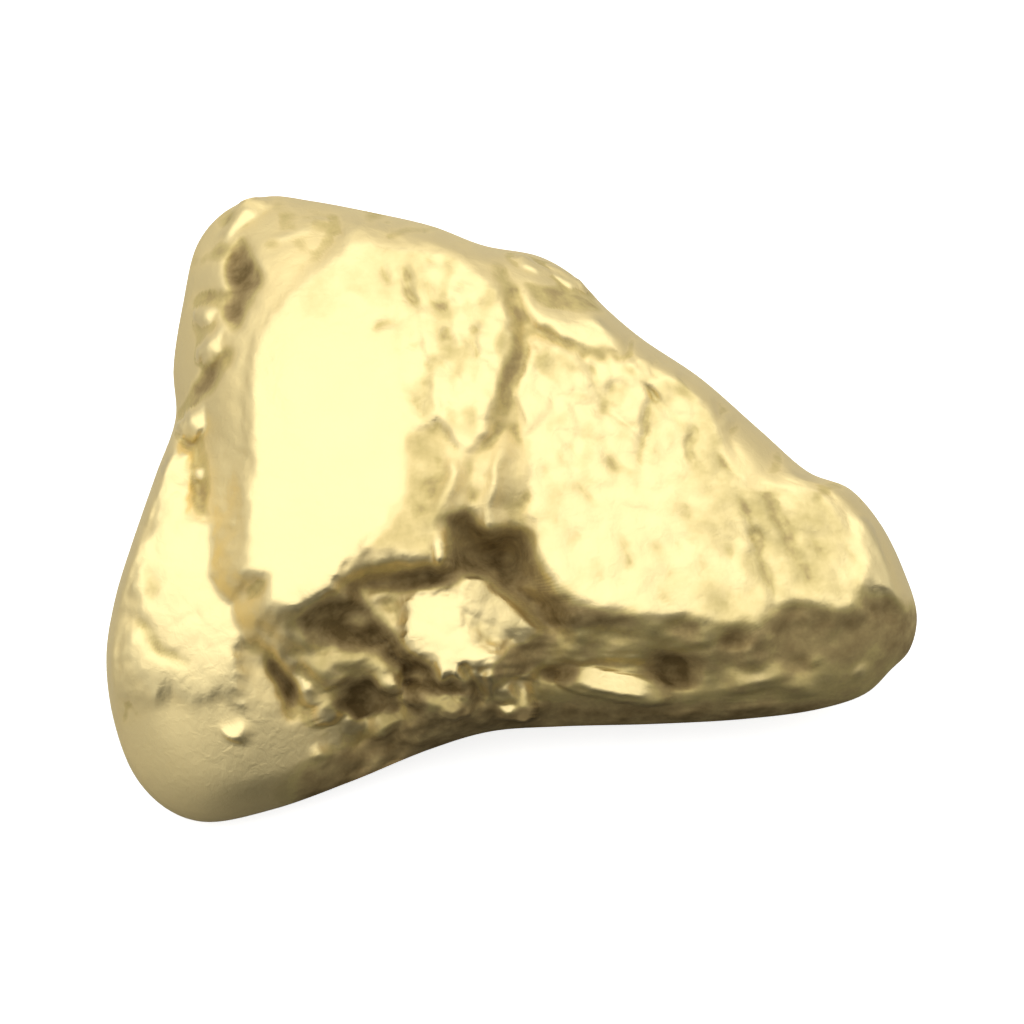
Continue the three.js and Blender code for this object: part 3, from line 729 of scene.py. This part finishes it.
# The band at the far left, above the lobe, is painted lighter: it gets less of the dip darkening than the
# rest.
up_the_face = points @ np.array([0, math.sin(FACE_ELEVATION), math.cos(FACE_ELEVATION)])
left_band_lightened = smooth_step(-5.1, -5.4, points[:, 0]) * smooth_step(1.7, 0.8, np.abs(up_the_face + 1.1))
dip_soil_and_shade *= 1 - 0.85 * left_band_lightened
soil_and_shade = np.maximum(soil_and_shade, np.minimum(soil_and_shade + dip_soil_and_shade, MOST_DIP_SOIL_AND_SHADE))
worn = np.clip(worn + PROUD_POLISH * smooth_step(0.03, 0.1, -dips[0]), 0, 1)

low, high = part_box("nugget")
middle = Vector(((low.x + high.x) / 2, (low.y + high.y) / 2, low.z))
lowest, highest = points.min(axis=0), points.max(axis=0)
points -= [(lowest[0] + highest[0]) / 2, (lowest[1] + highest[1]) / 2, lowest[2]]
points = points * MM + np.array(middle)
lump.data.vertices.foreach_set("co", points.ravel())
lump.data.update()
# This attribute darkens the gold for real soil, and also as painted shade in pits, folds, dips and shaded
# walls.
for name, values in (("soil_and_shade", soil_and_shade), ("polish", worn)):
    layer = lump.data.attributes.new(name, "FLOAT", "POINT")
    layer.data.foreach_set("value", values.astype(np.float32))
bpy.ops.object.shade_smooth()

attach(lump, "root")
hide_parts("nugget")


# ---- Materials ----
# Colours from clean gold to dark soil, the darkest of them also standing in for the shade of deep pits: how
# much soil and shade, then red, green and blue.
GOLD_TONES = [
    (0.14, (0.94, 0.772, 0.39)),
    (0.4, (0.68, 0.553, 0.232)),
    (0.52, (0.52, 0.397, 0.172)),
    (0.68, (0.36, 0.26, 0.11)),
    (1.0, (0.17, 0.115, 0.04)),
]
ROUGH_LEAST, ROUGH_MOST = 0.44, 0.58  # clean gold, from cloud to cloud
SOIL_ROUGHNESS, POLISH_ROUGHNESS = 0.35, -0.15  # what full soil and full polish add
DIMPLE_DEPTH = 0.00004


def set_tones(ramp, tones):
    first, *between_them, last = tones
    for element, (place, colour) in zip(ramp.elements[:], (first, last)):
        element.position = place
        element.color = (*colour, 1)
    for place, colour in between_them:
        ramp.elements.new(place).color = (*colour, 1)


def feed(links, socket, source):
    """Links a socket to another node's output, or else sets it to a number."""
    if isinstance(source, bpy.types.NodeSocket):
        links.new(source, socket)
    else:
        socket.default_value = source


def noise(tree, where, **settings):
    node = tree.nodes.new("ShaderNodeTexNoise")
    for name, value in settings.items():
        node.inputs[name.capitalize()].default_value = value
    tree.links.new(where, node.inputs["Vector"])
    return node.outputs["Fac"]


def in_range(tree, value, given, wanted):
    """Maps values in the given range onto the wanted range."""
    node = tree.nodes.new("ShaderNodeMapRange")
    for name, number in zip(("From Min", "From Max", "To Min", "To Max"), (*given, *wanted)):
        node.inputs[name].default_value = number
    tree.links.new(value, node.inputs["Value"])
    return node.outputs["Result"]


def multiply_add(tree, value, factor, added, clamped=False):
    node = tree.nodes.new("ShaderNodeMath")
    node.operation = "MULTIPLY_ADD"
    node.use_clamp = clamped
    for socket, source in zip(node.inputs, (value, factor, added)):
        feed(tree.links, socket, source)
    return node.outputs["Value"]


def layer(tree, name):
    node = tree.nodes.new("ShaderNodeAttribute")
    node.attribute_name = name
    return node.outputs["Fac"]


def native_gold():
    material = bpy.data.materials.new("native_gold")
    material.use_nodes = True
    tree = material.node_tree
    nodes, links = tree.nodes, tree.links
    shader = nodes["Principled BSDF"]
    shader.inputs["Specular IOR Level"].default_value = 0.15
    where = nodes.new("ShaderNodeTexCoord").outputs["Object"]
    # Soil and painted shade, broken up into crumbs, take the gold's colour and metal away.
    soil_and_shade_layer = layer(tree, "soil_and_shade")
    crumb_noise = noise(tree, where, scale=1900, detail=3, roughness=0.6)
    crumbs = in_range(tree, crumb_noise, (0.3, 0.7), (-0.3, 0.3))
    soiled_and_shaded = multiply_add(tree, soil_and_shade_layer, crumbs, soil_and_shade_layer, clamped=True)
    tone = nodes.new("ShaderNodeValToRGB")
    set_tones(tone.color_ramp, GOLD_TONES)
    links.new(soiled_and_shaded, tone.inputs["Fac"])
    links.new(tone.outputs["Color"], shader.inputs["Base Color"])
    links.new(in_range(tree, soiled_and_shaded, (0.25, 0.7), (1.0, 0.05)), shader.inputs["Metallic"])
    # The gold is a little cloudy, duller under soil and smoother where it is polished.
    cloudy = in_range(tree, noise(tree, where, scale=900, detail=4), (0, 1), (ROUGH_LEAST, ROUGH_MOST))
    dull = multiply_add(tree, soiled_and_shaded, SOIL_ROUGHNESS, cloudy)
    polished = multiply_add(tree, layer(tree, "polish"), POLISH_ROUGHNESS, dull)
    links.new(polished, shader.inputs["Roughness"])
    bump = nodes.new("ShaderNodeBump")
    bump.inputs["Strength"].default_value = 0.35
    bump.inputs["Distance"].default_value = DIMPLE_DEPTH
    links.new(noise(tree, where, scale=5000, detail=4, distortion=0.6), bump.inputs["Height"])
    links.new(bump.outputs["Normal"], shader.inputs["Normal"])
    return material


lump.data.materials.append(native_gold())


# ---- Studio ----
SHADED_SPOT = (0.003, -0.014, 0)  # the table just in front of the lump
SHADED_REACH = (0.008, 0.015)  # the table darkens from the second distance to the first
SHADED_TONES = (0.05, 0.5)


def table_finish():
    """Pale to look at, but dimmer where the gold mirrors it, above all just in front of the lump."""
    material = bpy.data.materials.new("pale_table")
    material.use_nodes = True
    tree = material.node_tree
    nodes, links = tree.nodes, tree.links
    shader = nodes["Principled BSDF"]
    shader.inputs["Base Color"].default_value = (0.95, 0.95, 0.95, 1)
    shader.inputs["Emission Color"].default_value = (1, 1, 1, 1)
    shader.inputs["Emission Strength"].default_value = 0.75
    shader.inputs["Roughness"].default_value = 0.9
    shader.inputs["Specular IOR Level"].default_value = 0.1
    away = nodes.new("ShaderNodeVectorMath")
    away.operation = "DISTANCE"
    away.inputs[1].default_value = SHADED_SPOT
    links.new(nodes.new("ShaderNodeTexCoord").outputs["Object"], away.inputs[0])
    dim = nodes.new("ShaderNodeBsdfDiffuse")
    links.new(in_range(tree, away.outputs["Value"], SHADED_REACH, SHADED_TONES), dim.inputs["Color"])
    mixed = nodes.new("ShaderNodeMixShader")
    links.new(nodes.new("ShaderNodeLightPath").outputs["Is Camera Ray"], mixed.inputs[0])
    links.new(dim.outputs[0], mixed.inputs[1])
    links.new(shader.outputs[0], mixed.inputs[2])
    links.new(mixed.outputs[0], nodes["Material Output"].inputs["Surface"])
    return material


bpy.ops.mesh.primitive_plane_add(size=1.2, location=(0, 0, 0))
table = bpy.context.object
table.name = "pale_table"
table.data.materials.append(table_finish())


def soft_light(name, size, elevation, distance, radiance):
    light = bpy.data.lights.new(name, "AREA")
    light.shape = "SQUARE"
    light.size = size
    light.energy = radiance * math.pi * size * size
    holder = bpy.data.objects.new(name, light)
    bpy.context.scene.collection.objects.link(holder)
    angle = math.radians(elevation)
    towards = Vector((0, -math.cos(angle), math.sin(angle)))
    holder.location = towards * distance
    holder.rotation_euler = towards.to_track_quat("Z", "Y").to_euler()


soft_light("overhead", size=0.21, elevation=97, distance=0.10, radiance=0.42)
soft_light("overhead hot spot", size=0.10, elevation=97, distance=0.09, radiance=0.3)

# The room is pale behind the lump and dark towards the front, a little to the right.
DARK_SIDE = Vector((0.45, -0.89, 0)).normalized()
ROOM_TONES = [(0.0, (0.84, 0.84, 0.84)), (0.74, (0.66, 0.66, 0.66)), (0.96, (0.05, 0.05, 0.05))]
room = bpy.data.worlds.new("room")
bpy.context.scene.world = room
room.use_nodes = True
room_tree = room.node_tree
facing = room_tree.nodes.new("ShaderNodeTexCoord")
towards_dark = room_tree.nodes.new("ShaderNodeVectorMath")
towards_dark.operation = "DOT_PRODUCT"
towards_dark.inputs[1].default_value = DARK_SIDE
room_tree.links.new(facing.outputs["Generated"], towards_dark.inputs[0])
shade = room_tree.nodes.new("ShaderNodeValToRGB")
set_tones(shade.color_ramp, ROOM_TONES)
darkness = in_range(room_tree, towards_dark.outputs["Value"], (-1, 1), (0, 1))
room_tree.links.new(darkness, shade.inputs["Fac"])
room_tree.links.new(shade.outputs["Color"], room_tree.nodes["Background"].inputs["Color"])

# ---- Camera ----
FRAME_SHARE = 0.794  # the nugget's share of the frame's width
FRAME_DROP = 0.008  # how far above the middle of the frame it sits, as a share of its width
LENS, SENSOR = 300, 36
look_up = Vector((0, math.sin(FACE_ELEVATION), math.cos(FACE_ELEVATION)))
look_out = Vector((0, -math.cos(FACE_ELEVATION), math.sin(FACE_ELEVATION)))
right_side = points[:, 0]
face_up = points @ np.array(look_up)
face_out = points @ np.array(look_out)
width = right_side.max() - right_side.min()
aim = Vector(((right_side.max() + right_side.min()) / 2, 0, 0))
aim += look_up * float((face_up.max() + face_up.min()) / 2 - FRAME_DROP * width)
aim += look_out * float(np.median(face_out))
distance = width / FRAME_SHARE * LENS / SENSOR
camera_data = bpy.data.cameras.new("camera")
camera_data.lens = LENS
camera_data.sensor_width = SENSOR
camera_data.clip_start = distance * 0.01
camera_data.clip_end = distance * 100
camera = bpy.data.objects.new("camera", camera_data)
bpy.context.scene.collection.objects.link(camera)
camera.location = aim + look_out * distance
camera.rotation_euler = (-look_out).to_track_quat("-Z", "Y").to_euler()
bpy.context.scene.camera = camera

bpy.context.scene.view_settings.view_transform = "Standard"
bpy.context.scene.view_settings.look = "None"
